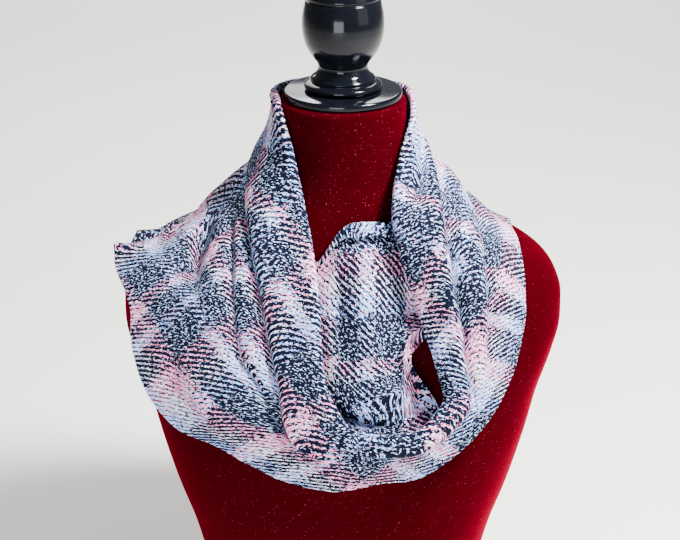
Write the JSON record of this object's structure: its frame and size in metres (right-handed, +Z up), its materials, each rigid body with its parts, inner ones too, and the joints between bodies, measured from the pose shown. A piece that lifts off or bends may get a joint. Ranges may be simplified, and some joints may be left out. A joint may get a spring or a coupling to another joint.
{
  "type": "infinity scarf worn on a limbless dress form",
  "caption": "Wide loop scarf of printed flannel, worn doubled in a soft open cowl on a velvet dress form with a turned finial.",
  "frame": {"origin": "middle of the dress form's flat underside, below the neck's axis", "axes": "+Z up along the neck, -Y the front of the wearer, +X the wearer's left"},
  "size_m": [0.3799, 0.2772, 0.568],
  "materials": {
    "velvet": "stretch velvet, deep burgundy",
    "black_gloss": "black gloss lacquer",
    "flannel": "brushed cotton flannel, printed with a distressed navy, pink, light blue and white plaid"
  },
  "bodies": {
    "root": {"form_torso": "velvet", "neck_cap": "black_gloss", "finial": "black_gloss", "scarf_back_left": "flannel", "scarf_left": "flannel", "scarf_right": "flannel", "scarf_back_right": "flannel", "inner_front": "flannel", "inner_back": "flannel"}
  },
  "joints": []
}
